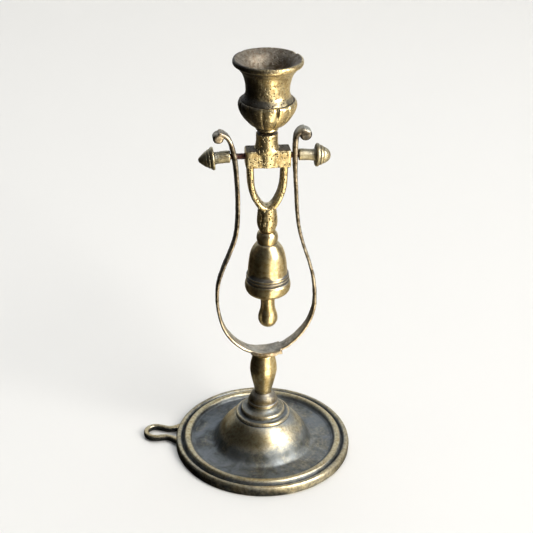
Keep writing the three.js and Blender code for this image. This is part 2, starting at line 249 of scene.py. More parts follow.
def joined(name, parts):
    """One mesh object from several."""
    gathered = bmesh.new()
    for part in parts:
        gathered.from_mesh(part.data)
        bpy.data.objects.remove(part)
    mesh = bpy.data.meshes.new(name)
    gathered.to_mesh(mesh)
    gathered.free()
    return add_object(name, mesh)


def apply_modifiers(piece):
    evaluated = piece.evaluated_get(bpy.context.evaluated_depsgraph_get())
    mesh = bpy.data.meshes.new_from_object(evaluated)
    piece.modifiers.clear()
    piece.data = mesh
    mesh.polygons.foreach_set("use_smooth", [True] * len(mesh.polygons))


def fuse(piece, voxel, smoothing):
    """Runs overlapping solids together, with small cast fillets where they meet."""
    remesh = piece.modifiers.new("fuse", "REMESH")
    remesh.mode = "VOXEL"
    remesh.voxel_size = voxel * MM
    smooth = piece.modifiers.new("fillet", "SMOOTH")
    smooth.factor = 0.5
    smooth.iterations = smoothing
    apply_modifiers(piece)


def roughen(piece, amount, scale, seed):
    """Moves each point in or out a little, as casting or filing by hand leaves a surface."""
    shift = Vector((seed * 3.7, seed * 1.9, seed * 5.3))
    normals = [v.normal.copy() for v in piece.data.vertices]
    for v, normal in zip(piece.data.vertices, normals):
        at = v.co / MM * scale
        move = noise.noise(at + shift) + 0.5 * noise.noise(at * 2.7 + shift)
        v.co += normal * (move * amount * MM)


def points_of(mesh):
    """Each vertex's place in millimetres and its normal, as two arrays of rows."""
    found = []
    for what in ("co", "normal"):
        values = np.empty(len(mesh.vertices) * 3)
        mesh.vertices.foreach_get(what, values)
        found.append(values.reshape(-1, 3))
    return found[0] / MM, found[1]


def store(mesh, name, values):
    attribute = mesh.attributes.new(name, "FLOAT", "POINT")
    attribute.data.foreach_set("value", values.astype(np.float32))


def mark_wear(piece, spread, gain):
    """Stores how far each point stands out (+) or lies in a hollow (-) as the attribute wear,
    evened out over spread rounds of neighbours."""
    mesh = piece.data
    count = len(mesh.vertices)
    sharpest = 6
    co, normal = points_of(mesh)
    ends = np.empty(len(mesh.edges) * 2, int)
    mesh.edges.foreach_get("vertices", ends)
    a, b = ends.reshape(-1, 2).T
    reach = co[b] - co[a]
    square = np.maximum((reach ** 2).sum(1), 1e-4)
    bend, neighbours = np.zeros(count), np.zeros(count)
    np.add.at(bend, a, -(reach * normal[a]).sum(1) * 2 / square)
    np.add.at(bend, b, (reach * normal[b]).sum(1) * 2 / square)
    np.add.at(neighbours, a, 1)
    np.add.at(neighbours, b, 1)
    neighbours = np.maximum(neighbours, 1)
    bend = np.clip(bend / neighbours, -sharpest, sharpest)
    for _ in range(spread):
        total = np.zeros(count)
        np.add.at(total, a, bend[b])
        np.add.at(total, b, bend[a])
        bend = 0.5 * bend + 0.5 * total / neighbours
    store(mesh, "wear", np.tanh(bend * gain))


# ------------ materials

class Nodes:
    """Short ways to add and link shader nodes."""

    def __init__(self, name):
        self.material = bpy.data.materials.new(name)
        self.material.use_nodes = True
        self.tree = self.material.node_tree
        self.tree.nodes.clear()
        self.output = self.add("ShaderNodeOutputMaterial")
        self.shader = self.add("ShaderNodeBsdfPrincipled")
        self.link(self.shader.outputs[0], self.output.inputs["Surface"])
        scaled = self.add("ShaderNodeVectorMath", operation="SCALE")
        self.link(self.add("ShaderNodeTexCoord").outputs["Object"], scaled.inputs[0])
        scaled.inputs["Scale"].default_value = 1 / MM
        self.mm = scaled.outputs[0]

    def add(self, kind, **settings):
        made = self.tree.nodes.new(kind)
        for key, value in settings.items():
            setattr(made, key, value)
        return made

    def link(self, source, target):
        if hasattr(source, "is_output"):
            self.tree.links.new(source, target)
        else:
            target.default_value = source

    def noise(self, scale, detail=4, rough=0.55, distort=0.0, vector=None):
        made = self.add("ShaderNodeTexNoise")
        self.link(self.mm if vector is None else vector, made.inputs["Vector"])
        made.inputs["Scale"].default_value = scale
        made.inputs["Detail"].default_value = detail
        made.inputs["Roughness"].default_value = rough
        made.inputs["Distortion"].default_value = distort
        return made.outputs["Fac"]

    def round_the_stem(self):
        """Radius and height only, so that a pattern runs round the piece like a turning mark."""
        split = self.add("ShaderNodeSeparateXYZ")
        self.link(self.mm, split.inputs[0])
        across = self.math("SUBTRACT", split.outputs["X"], AXIS_X)
        square = self.math("ADD", self.math("MULTIPLY", across, across),
                           self.math("MULTIPLY", split.outputs["Y"], split.outputs["Y"]))
        made = self.add("ShaderNodeCombineXYZ")
        self.link(self.math("SQRT", square), made.inputs["X"])
        self.link(split.outputs["Z"], made.inputs["Z"])
        return made.outputs[0]

    def cells(self, scale):
        made = self.add("ShaderNodeTexVoronoi")
        self.link(self.mm, made.inputs["Vector"])
        made.inputs["Scale"].default_value = scale
        return made.outputs["Distance"]

    def math(self, operation, a, b=0.0):
        made = self.add("ShaderNodeMath", operation=operation)
        for value, socket in zip((a, b), made.inputs):
            self.link(value, socket)
        return made.outputs[0]

    def plus(self, base, value, times):
        return self.math("ADD", base, self.math("MULTIPLY", value, times))

    def centred(self, noise_value):
        return self.math("SUBTRACT", noise_value, 0.5)

    def ramp(self, value, low, high, to_low=0.0, to_high=1.0):
        made = self.add("ShaderNodeMapRange", clamp=True, interpolation_type="SMOOTHSTEP")
        sources = (value, low, high, to_low, to_high)
        names = ("Value", "From Min", "From Max", "To Min", "To Max")
        for source, name in zip(sources, names):
            self.link(source, made.inputs[name])
        return made.outputs["Result"]

    def blend(self, how_much, a, b):
        made = self.add("ShaderNodeMix", data_type="RGBA", clamp_factor=True)
        self.link(how_much, made.inputs[0])
        # a Mix node's names repeat, so its colour sockets go by their places
        for colour, socket in ((a, made.inputs[6]), (b, made.inputs[7])):
            self.link((*colour, 1) if isinstance(colour, tuple) else colour, socket)
        return made.outputs[2]

    def attribute(self, name):
        made = self.add("ShaderNodeAttribute", attribute_name=name)
        return made.outputs["Fac"]

    def bump(self, height, distance, under=None):
        made = self.add("ShaderNodeBump")
        made.inputs["Strength"].default_value = 1.0
        made.inputs["Distance"].default_value = distance * MM
        self.link(height, made.inputs["Height"])
        if under is not None:
            self.link(under, made.inputs["Normal"])
        return made.outputs["Normal"]

    def set(self, **sockets):
        for name, value in sockets.items():
            self.link(value, self.shader.inputs[name.replace("_", " ")])


# the metal's colour in its hollows, dark grime with painted shade, in casting pits and inside the socket
GRIME_AND_SHADE = (0.02, 0.018, 0.016)
PIT_BROWN = (0.03, 0.018, 0.008)
LINING_DARK, LINING_PALE = (0.21, 0.165, 0.115), (0.36, 0.33, 0.28)
WARMER = (0.78, 0.66, 0.48)  # the part of each channel that thinly tarnished metal keeps


def aged_brass(name, polished, brown, cool, roughness, pits=0.0, mottled=0.35, lined=False, turned=True):
    """Old rubbed brass. The attribute tone says how polished it is, from 0 to 1, and wear adds
    bright edges and dark hollows, their dark both grime and painted shade; where it faces up, the
    tarnish is a cool grey. The roughness is where it is polished. pits are casting pits, mottled is how
    patchy the polish is, lined says that the attribute lining marks a dull inside, and turned adds turning
    marks."""
    n = Nodes(name)
    wear = n.attribute("wear")
    tone = n.attribute("tone")
    proud = n.ramp(wear, 0.1, 0.8)
    hollow = n.ramp(wear, -0.1, -0.75)
    clouds = n.noise(0.11, 4, 0.55, 0.4)
    mottling = n.noise(0.55, 5, 0.6, 0.2)
    specks = n.noise(2.3, 4, 0.6)
    fine = n.noise(8.0, 3, 0.6)

    # how much of the polish shows
    uneven = n.centred(n.plus(n.math("MULTIPLY", clouds, 0.6), mottling, 0.4))
    polish = n.plus(tone, uneven, mottled * 4)
    polish = n.plus(polish, proud, 0.55)
    polish = n.plus(polish, hollow, -0.9)
    polish = n.plus(polish, n.centred(specks), 0.35)
    if turned:
        marks = n.noise(1.6, 4, 0.6, 0, n.round_the_stem())
        polish = n.plus(polish, n.centred(marks), 0.35)
    polish = n.ramp(polish, 0.0, 1.0)

    tarnish = n.blend(n.ramp(n.attribute("up"), 0.1, 0.75), brown, cool)
    tarnish = n.blend(n.ramp(n.noise(0.2, 3, 0.6, 0.5), 0.45, 0.65, 0, 0.5), tarnish, cool)
    tarnish = n.blend(n.ramp(n.noise(0.1, 5, 0.6, 0.6), 0.32, 0.74, 0, 0.9), tarnish, brown)
    warm = tuple(c * k for c, k in zip(polished, WARMER))
    metal = n.blend(n.ramp(mottling, 0.3, 0.62), warm, polished)
    colour = n.blend(polish, tarnish, metal)
    # the hollows darken to grime with painted shade, standing in for the shade that gathers in them
    colour = n.blend(n.math("MULTIPLY", hollow, 0.6), colour, GRIME_AND_SHADE)

    rough = n.ramp(polish, 0, 1, roughness + 0.26, roughness)
    rough = n.plus(rough, n.centred(specks), 0.16)
    height = n.plus(n.math("MULTIPLY", fine, 0.35), specks, 0.8)
    if turned:
        height = n.plus(height, marks, 0.4)
    normal = n.bump(height, 0.02)
    if pits:
        cells = n.cells(0.72)
        zone = n.ramp(n.noise(0.16, 2, 0.5), 0.34, 0.46)
        pit = n.math("MULTIPLY", n.ramp(cells, 0.4, 0.22), zone)
        pit = n.math("MULTIPLY", pit, pits)
        colour = n.blend(n.math("MULTIPLY", pit, 0.85), colour, PIT_BROWN)
        normal = n.bump(n.math("MULTIPLY", pit, -1.0), 0.3, normal)
        rough = n.plus(rough, pit, 0.3)
    if lined:
        inside = n.attribute("lining")
        crust = n.blend(n.ramp(n.noise(0.5, 5, 0.65), 0.3, 0.7), LINING_DARK, LINING_PALE)
        colour = n.blend(inside, colour, crust)
        rough = n.math("MAXIMUM", rough, n.math("MULTIPLY", inside, 0.6))
        normal = n.bump(n.math("MULTIPLY", n.noise(1.5, 5, 0.65), inside), 0.07, normal)
    n.set(Base_Color=colour, Roughness=rough, Normal=normal, Metallic=1.0)
    return n.material


POLISHED = (0.78, 0.66, 0.39)
BROWN = (0.10, 0.074, 0.038)
COOL_GREY = (0.27, 0.285, 0.30)

# polished metal, brown tarnish and cool tarnish, then the roughness
body_brass = aged_brass("body_brass", POLISHED, BROWN, COOL_GREY, 0.29)
knob_brass = aged_brass("knob_brass", (0.62, 0.56, 0.38), (0.17, 0.15, 0.095), (0.34, 0.35, 0.33), 0.38)
cast_brass = aged_brass("cast_brass", POLISHED, BROWN, (0.17, 0.15, 0.12), 0.29, pits=1.0, turned=False)
socket_brass = aged_brass("socket_brass", POLISHED, (0.075, 0.06, 0.035), (0.15, 0.15, 0.145), 0.28,
                          pits=0.6, mottled=0.5, lined=True)
base_brass = aged_brass("base_brass", (0.80, 0.70, 0.45), (0.085, 0.09, 0.085), (0.29, 0.315, 0.33), 0.3)
# its near-black brown mostly darkens the arms' wide faces, as painted shade
strip_brass = aged_brass("strip_brass", (0.78, 0.67, 0.51), (0.045, 0.038, 0.03), (0.58, 0.57, 0.50), 0.3,
                         mottled=0.5, turned=False)


def rusty_steel():
    n = Nodes("rusty_steel")
    rust = n.ramp(n.noise(1.1, 5, 0.65), 0.4, 0.6)
    colour = n.blend(rust, (0.12, 0.10, 0.10), (0.16, 0.045, 0.03))
    n.set(Base_Color=colour, Roughness=n.ramp(rust, 0, 1, 0.35, 0.8),
          Metallic=n.ramp(rust, 0, 1, 1, 0.25), Normal=n.bump(n.noise(4, 4), 0.03))
    return n.material


def dull_lead():
    n = Nodes("dull_lead")
    shade = n.blend(n.noise(0.5, 4), (0.20, 0.20, 0.21), (0.30, 0.30, 0.31))
    n.set(Base_Color=shade, Roughness=0.65, Metallic=0.8, Normal=n.bump(n.noise(2, 4), 0.04))
    return n.material


steel = rusty_steel()
lead = dull_lead()


def mark_tone(piece, tone, cool):
    """Stores the polish as tone, how far the surface faces up at rest as up, and the inside of
    the socket as lining. cool adds to up where tarnish is grey on a steep surface too."""
    co, normal = points_of(piece.data)
    x, y, z = co.T
    shade = tone(x - AXIS_X, y, z, normal) if callable(tone) else np.full(len(co), tone)
    up = normal[:, 2] + (cool(z) if cool else 0)
    inside = (normal[:, 0] * (x - AXIS_X) + normal[:, 1] * y < 0) & (z > LINING_FROM)
    for name, values in (("tone", shade), ("up", up), ("lining", inside)):
        store(piece.data, name, values)


def paint(piece, material):
    piece.data.materials.clear()
    piece.data.materials.append(material)


def dress(piece, material, slot, body, *nodes, tone=0.75, cool=None, spread=4, gain=0.9):
    """Gives a finished piece its wear, tone, material and body; slot is not used. tone is a number, or a
    function of the points' places and normals, and cool a function of their heights. spread and
    gain say how widely and how strongly edges show wear."""
    # the hollows found here get grime and painted shade in the brass materials
    mark_wear(piece, spread, gain)
    mark_tone(piece, tone, cool)
    paint(piece, material)
    if nodes:
        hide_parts(*nodes)
    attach(piece, body)


def share(value, start, length):
    """How much of a length value has gone past its start, from 0 to 1. A length below 0 runs down."""
    return min(1, max(0, (value - start) / length))


def step_up(value, low, high):
    """0 below low, 1 above high and smooth between, for numbers and arrays."""
    t = np.clip((value - low) / (high - low), 0, 1)
    return t * t * (3 - 2 * t)


def between(value, low, high, soft):
    """1 between low and high, falling to 0 over soft on each side."""
    return step_up(value, low - soft, low + soft) * (1 - step_up(value, high - soft, high + soft))


# ------------ base

BASE_RADIUS = 52


def base_dish():
    """Foot, hollow underside, rim, pan, ring and dome, up to the hole for the stem's tenon."""
    top = DOME_TOP
    tenon = 3.2
    outline = [
        (tenon, top - 6.5), (9, top - 6.5),
        *spline([(13.6, 20.8), (17.4, 17.6), (21, 14), (24, 9.8), (26.4, 5), (30, 2)], 1.2),
        (47.4, 2), (48.8, 0), (51.3, 0), (BASE_RADIUS - 0.1, 0.8),
        *spline([(51.9, 1.4), (51.95, 3.4), (51.5, 5.1), (50.6, 5.85), (49.6, 5.9), (48.7, 5.2),
                 (48.3, 4.4)]),
        (47.9, 4.05), (47.5, 4.2),
        *spline([(47.1, 5.2), (46.5, 6.4), (45.3, 7.05), (44, 6.9), (43, 6.1), (42.4, 4.9), (41.4, 4.2)]),
        *spline([(40, 4.02), (36, 4), (32, 4.05), (30.2, 4.3), (28.9, 5.3), (27.6, 7.2), (25.6, 11),
                 (22.6, 15.3), (19.2, 19), (17, 21.1), (15.9, 21.9)], 0.8),
        *spline([(15.55, 22.25), (15.95, 22.9), (15.8, 23.6), (15.1, 24.1), (14.3, 24.1)], 0.25),
        (13.5, 24.2), (12.9, 24.7), (12.75, 26.2), (12.3, 26.9), (11.4, 27.2),
        *spline([(10.6, 27.4), (9.5, 28), (8.8, 29), (8.5, 30), (8.4, top)], 0.4),
        (tenon, top), (tenon, top - 6.5),
    ]
    return revolve("base_dish_fine", outline, 224, cast_skin(0.05, 0.12, 1), corner=0.25)


def hanging_loop():
    """A cast eye on the rim, with two flaring roots."""
    angle = math.radians(169)
    centre, ring, low, high = 65.0, 5.6, 1.0, 4.6
    inner_end = BASE_RADIUS - 2.2
    # the middle line of the eye's metal, from one root round the ring to the other
    line = [(inner_end, -7.4), (53.6, -5.4), (57.5, -4.3), (61, -5.0)]
    line += [(centre + ring * math.cos(a), ring * math.sin(a)) for a in np.linspace(-1.75, 1.75, 9)]
    line += [(x, -y) for x, y in reversed(line[:4])]
    line = spline(line, 0.6)
    # wider at the roots than round the ring
    widths = [2.9 + 1.6 * max(0, 1 - (x - inner_end) / 5.5) for x, _ in line]
    made = ribbon("hanging_loop", line, widths, high - low, (low + high) / 2)
    made.data.transform(on_axis() @ Matrix.Rotation(angle, 4, "Z"))
    return made


def soft_oval(around, half_width, half_depth, width_power, depth_power):
    """A section between an oval and a rectangle; powers below 1 make it squarer."""
    made = []
    for k in range(around):
        a = 2 * math.pi * k / around
        u, v = math.cos(a), math.sin(a)
        made.append((math.copysign(abs(u) ** width_power, u) * half_width,
                     math.copysign(abs(v) ** depth_power, v) * half_depth))
    return made


def ribbon(name, line, widths, depth, middle):
    """A bar with a soft oval section along a line in the XY plane."""
    around = 20
    vertices = []
    for i, (x, y) in enumerate(line):
        ahead = np.array(line[min(i + 1, len(line) - 1)]) - np.array(line[max(i - 1, 0)])
        side = np.array([-ahead[1], ahead[0]]) / np.linalg.norm(ahead)
        for across, up in soft_oval(around, widths[i] / 2, depth / 2, 0.6, 0.75):
            vertices.append((x + side[0] * across, y + side[1] * across, middle + up))
    return mesh_object(name, vertices, tube_faces(len(line), around))


# ------------ stem

def stem():
    """The baluster with its collar, the tenon below it and the rivet above it."""
    shoulder = DOME_TOP + 0.02
    outline = [
        (0, 15), (2.4, 15), (2.9, 15.5), (2.9, shoulder), (8.5, shoulder),
        *spline([(8.9, 30.8), (9.0, 31.3), (8.7, 31.9), (8.3, 32.3)], 0.2),
        *spline([(8.1, 33), (7.7, 34.5), (6.8, 36), (5.6, 37), (4.85, 37.9), (4.75, 38.7), (5.0, 39.8),
                 (6, 43.7), (7.1, 48.4), (7.8, 52.6), (7.85, 54.4), (7.5, 57.8), (6.7, 61.4),
                 (6.1, 64.15)], 0.5),
        (2.4, 64.15), (2.4, 66.3), (0, 66.3),
    ]
    return revolve("stem_fine", outline, 128, cast_skin(0.04, 0.2, 2), corner=0.2)


def ring_size(node):
    """Lowest and highest point and outer radius of a washer or nut, in millimetres."""
    low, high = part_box(node)
    return low.z / MM, high.z / MM, (high.y - low.y) / 2 / MM


def stem_nut():
    low, high, radius = ring_size("stem_nut")
    bore, entry = 3.1, 0.3
    chamfer, crown = 0.7, radius - 1.1
    rows = [(bore, low + entry), (bore + entry, low), (crown, low), (radius, low + chamfer),
            (radius, high - chamfer), (crown, high), (bore + entry, high), (bore, high - entry)]
    rows.append(rows[0])
    flat = radius * math.cos(math.pi / 6)

    def hexagon(x, y, z):
        # the crown stays round and the flats cut it
        a = math.atan2(y, x) % (math.pi / 3) - math.pi / 6
        reach = min(1.0, flat / math.cos(a) / math.hypot(x, y))
        return x * reach, y * reach, z
    return revolve("stem_nut_fine", rows, 96, hexagon, corner=0.15, step=0.9)


def stem_washer():
    low, high, radius = ring_size("stem_washer")
    bore = 3.2
    rows = [(bore, low), (radius, low), (radius, high), (bore, high), (bore, low)]
    return revolve("stem_washer_fine", rows, 96, corner=0.25)


# ------------ lyre frame

STRIP_THICKNESS = 1.7
SEAT_HEIGHT = 64.2
SEAT_WIDTH = 10.6
SEAT_LEFT, SEAT_LENGTH = -7.4, 17.2

LYRE_LINE = [
    (-25.8, 202.0), (-23.9, 201.6), (-21.4, 199.7), (-19.5, 196.3), (-18, 191), (-17, 185), (-16, 174),
    (-15.4, 160), (-15.7, 148), (-17, 139), (-20, 130), (-23.6, 120.6), (-26.3, 111), (-26.9, 102),
    (-26.1, 93), (-23.2, 82.5), (-17.6, 74), (-9.5, 67.9), (0, 65.9), (10, 68), (18.3, 74.3),
    (25, 83.4), (28.2, 93), (28.6, 101.5), (27.6, 112), (25, 122.6), (21.6, 133), (18.9, 143),
    (17.3, 154), (16.4, 167), (15.5, 180), (15.3, 190), (15.4, 197.2), (16.1, 200.4), (17.8, 202.5),
    (20.2, 203.2),
]

ROLLS = [(-26.0, 199.5, 2.9), (20.5, 200.4, 3.3)]  # middle and radius of the two rolled ends
TWIST = math.radians(6)  # the left arm is turned a little out of true

# The strip is narrower along the arms than at its ends: (height, half width).
HALF_WIDTHS = [(60, 4.0), (69, 4.0), (84, 3.1), (110, 2.9), (150, 2.9), (182, 3.5), (210, 3.6)]


def bar_along(name, line, section):
    """A bar along a line in the XZ plane. section(x, z) gives its outline as (inwards, along Y)."""
    vertices = []
    for i, (x, z) in enumerate(line):
        ahead = np.array(line[min(i + 1, len(line) - 1)]) - np.array(line[max(i - 1, 0)])
        ahead = ahead / np.linalg.norm(ahead)
        inwards = (-ahead[1], ahead[0])
        outline = section(x, z)
        vertices += [(x + inwards[0] * u, v, z + inwards[1] * u) for u, v in outline]
    made = mesh_object(name, vertices, tube_faces(len(line), len(outline), clockwise=True))
    made.data.transform(on_axis())
    return made


def strip_section(inside, outside, half_width, corner):
    """A rectangle with rounded corners, as (inwards, along Y) points."""
    across = 6  # points on each wide side, between its corners
    made = []
    corners = [(inside, half_width, 0), (-outside, half_width, 1), (-outside, -half_width, 2),
               (inside, -half_width, 3)]
    for u, v, quarter in corners:
        cu, cv = u - math.copysign(corner, u), v - math.copysign(corner, v)
        for step in range(5):
            a = math.pi / 2 * (quarter + step / 4)
            made.append((cu + corner * math.cos(a), cv + corner * math.sin(a)))
        if quarter % 2:
            ends = (made[-1], (made[-1][0], -made[-1][1]))
            made += [tuple(np.array(ends[0]) * (1 - t) + np.array(ends[1]) * t)
                     for t in np.linspace(0, 1, across + 2)[1:-1]]
    return made


def lyre_strip():
    """The bent strip, thicker towards the pivots, with its left arm a little twisted."""
    line = spline(LYRE_LINE, 0.8)

    def section(x, z):
        half = STRIP_THICKNESS / 2 + 0.05 + 0.35 * float(step_up(z, 172, 192))
        wide = float(np.interp(z, *zip(*HALF_WIDTHS)))
        outline = strip_section(half, half, wide, half * 0.95)
        twist = TWIST * float(between(z, 140, 198, 8)) if x < 0 else 0
        return [(u - v * math.sin(twist), v) for u, v in outline]
    return bar_along("lyre_strip", line, section)


def lyre_seat():
    """The thicker, wider lug that the stem is riveted to, filed round at its left end."""
    line = [(x, z) for x, z in spline(LYRE_LINE, 0.4)
            if SEAT_LEFT <= x <= SEAT_LEFT + SEAT_LENGTH and z < 80]
    half = STRIP_THICKNESS / 2
    round_end = 0.24  # the part of its width that the left end loses

    def section(x, z):
        along = (x - SEAT_LEFT) / SEAT_LENGTH
        wide = SEAT_WIDTH / 2 * (1 - round_end + round_end * math.sin(math.pi / 2 * min(1, along * 2)))
        # the underside rises at both ends, abruptly at the right one
        lift = 1.1 * float(step_up(x, 6.2, 7.2)) + 0.9 * (1 - float(step_up(x, SEAT_LEFT, -4)))
        return strip_section(half + 0.1, max(half, z - SEAT_HEIGHT - lift), wide, 0.7)
    return bar_along("lyre_seat", line, section)


def lyre_roll(x, z, radius):
    """The solid rolled end of an arm, its axis along Y."""
    half = HALF_WIDTHS[-1][1]
    outline = [(0, -half), (radius - 1, -half), (radius, -half + 1),
               (radius, half - 1), (radius - 1, half), (0, half)]
    lay = Matrix.Translation(((AXIS_X + x) * MM, 0, z * MM)) @ Matrix.Rotation(math.pi / 2, 4, "X")
    return revolve("roll", outline, 48, place=lay, corner=0.5)


def lyre_frame():
    made = joined("lyre_frame_fine", [lyre_strip(), lyre_seat(), *(lyre_roll(*roll) for roll in ROLLS)])
    fuse(made, 0.28, 5)
    roughen(made, 0.09, 0.45, 7)
    return made


# ------------ thumb screws

STUD_RADIUS = 1.75
THREAD_PITCH = 0.7
THREAD_DEPTH = 0.34


def threaded_stud(name, node, direction):
    """A stud with a cut thread and chamfered ends, as long as its CAD node."""
    inner, outer = sorted(abs(c.x / MM - AXIS_X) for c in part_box(node))
    around, rows_per_turn = 40, 8
    chamfer, chamfer_depth = 0.5, 0.25
    count = math.ceil((outer - inner) / (THREAD_PITCH / rows_per_turn))
    vertices = []
    for z in np.linspace(inner, outer, count):
        fade = min(1, (z - inner) / chamfer, (outer - z) / chamfer)
        for k in range(around):
            a = 2 * math.pi * k / around
            phase = (z / THREAD_PITCH - k / around) % 1
            groove = 1 - abs(2 * phase - 1)
            r = STUD_RADIUS - THREAD_DEPTH * groove - chamfer_depth * (1 - fade)
            vertices.append((r * math.cos(a), r * math.sin(a), z))
    made = mesh_object(name, vertices, tube_faces(count, around))
    made.data.transform(outwards(direction))
    return made


def knob(name, shank, head, direction, seed, droop, bent_at):
    """A turned knob whose shank has been bent downwards by a knock, with its inner end still square.
    The stud ends in the bore at its inner end."""
    start = shank[0][1]
    bore, bore_end = 2.3, start + 3.6
    outline = [(0, bore_end), (bore, bore_end), (bore, start), *shank, *head]
    skin = cast_skin(0.06, 0.3, seed)
    angle = math.radians(droop)
    half_bend = 1.5

    def bent(x, y, z):
        x, y, z = skin(x, y, z)
        turned = share(z, bent_at - half_bend, 2 * half_bend)
        down = (z - bent_at) * math.tan(angle) * turned
        return x + direction * down, y, z - direction * x * math.sin(angle) * turned
    return revolve(name, outline, 128, bent, outwards(direction), corner=0.2, step=0.4)


LEFT_SHANK = [
    (3.0, 19.7), (3.35, 20.0), (3.35, 21.2), (3.25, 23.2), (3.2, 25.2), (3.25, 26.8), (3.4, 27.7),
]
RIGHT_SHANK = [
    (2.85, 17.2), (3.2, 17.5), (3.15, 19.0), (3.05, 21.8), (3.05, 24.2), (3.2, 25.4), (3.4, 25.9),
]
POINTED_HEAD = [
    (3.4, 27.9), (5.7, 28.05), (6.2, 28.35), (6.3, 28.9), (6.05, 29.6), (5.5, 30.2), (5.15, 30.35),
    (5.25, 30.75), (4.75, 31.6), (4.35, 31.9), (4.35, 32.3), (3.5, 33.6), (2.3, 35.1), (1.2, 36.2),
    (0.5, 36.55), (0, 36.6),
]
BLUNT_HEAD = [
    (3.4, 26.1), (5.7, 26.25), (6.2, 26.6), (6.3, 27.3), (6.1, 28.0), (5.5, 28.35), (5.2, 28.55),
    (5.45, 29.0), (5.1, 29.9), (4.5, 30.25), (4.55, 30.7), (4.1, 31.8), (3.2, 33.1), (2.1, 34.0),
    (1.0, 34.4), (0, 34.5),
]


# ------------ cross-head

HEAD_LEFT, HEAD_RIGHT = -11.6, 12.7
HEAD_BOTTOM, HEAD_TOP = 182.6, 192.6
HEAD_DEPTH = 10.0


def soft_box(low, high, corner):
    """A block with bevelled edges."""
    box = bmesh.new()
    bmesh.ops.create_cube(box, size=1)
    size = [h - l for l, h in zip(low, high)]
    middle = [(h + l) / 2 for l, h in zip(low, high)]
    for v in box.verts:
        v.co = Vector([m + c * s for m, c, s in zip(middle, v.co, size)]) * MM
    bmesh.ops.bevel(box, geom=box.edges[:], offset=corner * MM, segments=3, affect="EDGES", profile=0.5)
    mesh = bpy.data.meshes.new("block")
    box.to_mesh(mesh)
    box.free()
    mesh.transform(on_axis())
    return add_object("block", mesh)


def stirrup():
    """One bent bar of soft rectangular section: both arms and the round bottom between them."""
    line = spline([(-9.1, 186), (-9.0, 178), (-8.6, 171.5), (-7.4, 166.2), (-5.1, 161.4), (-2.7, 158.4),
                   (0, 157.4), (2.7, 158.4), (5.1, 161.4), (7.4, 166.2), (8.7, 171.5), (9.2, 178),
                   (9.5, 186)], 0.6)

    def section(x, z):
        lower = share(z, 172, -14)
        return soft_oval(28, 1.9 - 0.15 * lower, 4.75 - 0.4 * lower, 0.55, 0.6)
    made = bar_along("stirrup", line, section)
    made.data.transform(leaning() @ on_axis().inverted())
    return made


def flare(x, y, z):
    """Lets the boss run out sideways over the block, and only swell a little from its front."""
    flat, swell = HEAD_DEPTH / 2, 0.8
    proud = max(0.0, abs(y) - flat)
    held = flat + swell * (1 - math.exp(-proud / swell)) if proud else abs(y)
    free = share(z, 191, 4)
    return x, math.copysign(held + (abs(y) - held) * free, y), z


def cross_head():
    half = HEAD_DEPTH / 2
    block = soft_box((HEAD_LEFT, -half, HEAD_BOTTOM), (HEAD_RIGHT, half, HEAD_TOP), 1.0)
    boss = revolve("boss", [
        (0, 182.7), (5.2, 182.7), (5.7, 183.6), (5.8, 190), (7.3, 191.8),
        *spline([(7.1, 192.6), (6.5, 193.5), (6.1, 194.9), (5.9, 196.6), (5.85, 199)], 0.3),
        (5.85, BOSS_TOP - 1), (4.6, BOSS_TOP - 0.4), (3.8, BOSS_TOP), (0, BOSS_TOP)], 72, flare, corner=0.2)
    neck = revolve("neck", [
        (0, 143.6), (4.1, 143.6), (4.45, 144.2),
        *spline([(4.9, 145.3), (5.5, 147.2), (5.72, 149), (5.6, 152), (5.3, 155), (4.9, 157.2)], 0.5),
        (3.6, 158.2), (0, 158.2)], 64, place=leaning(), corner=0.2)
    made = joined("cross_head_fine", [block, boss, neck, stirrup()])
    fuse(made, 0.3, 7)
    roughen(made, 0.06, 0.35, 2)
    return made


# ------------ candle socket

CANDLE_SEAT = 214
BOWL_FOOT, BOWL_TOP = 204.4, 220.4
NICK = 118  # the direction of the lip's one nick

# The chased cuts between the lobes, each unlike the next: direction in degrees from the front,
# then how deep it is at the top and at the foot of the bowl.
CUTS = [
    (-166, 0.7, 0.6), (-135, 0.4, 0.9), (-104, 0.6, 0.7), (-74, 0.5, 0.9), (-45, 0.3, 0.8),
    (-16, 0.25, 1.0), (14, 1.0, 0.3), (40, 0.35, 1.0), (67, 0.5, 0.8), (104, 0.4, 0.9),
    (137, 0.8, 0.5), (165, 0.3, 0.8),
]


def gadroon(x, y, z):
    """Cuts the bowl into lobes, and leaves the lip a little uneven, with one nick at the back."""
    angle = math.degrees(math.atan2(x, -y))
    r = math.hypot(x, y)
    outside = r > 10.2 or z < 213
    if outside and BOWL_FOOT < z < BOWL_TOP:
        foot = share(z, 204.5, 1.2) * share(z, 214.5, -5)
        top = share(z, 213.5, 4) * share(z, 220.3, -0.8)
        depth, nearest = 0, 180
        for cut, at_top, at_foot in CUTS:
            off = abs((angle - cut + 180) % 360 - 180)
            nearest = min(nearest, off)
            across = math.radians(off) * r
            depth += at_top * top * math.exp(-(across / 0.7) ** 2)
            depth += at_foot * foot * 0.8 * math.exp(-(across / 0.5) ** 2)
        # the lobes swell between the cuts, which are about 30 degrees apart
        swell = share(z, 204.5, 4) * share(z, 220, -4)
        depth += 0.4 * swell * max(0, 1 - nearest / 15) ** 1.5
        x, y = x * (1 - depth / r), y * (1 - depth / r)
    n = noise.noise(Vector((x, y, z)) * 0.22)
    k = 1 + 0.1 * n / max(r, 3)
    lip = max(0, (z - 240.5) / 2)
    dent = max(0, noise.noise(Vector((x * 0.35, y * 0.35, 3))) - 0.2) * 0.8
    nick = 0.9 * math.exp(-((angle - NICK) / 3) ** 2)
    return x * k, y * k, z - (dent + nick) * lip


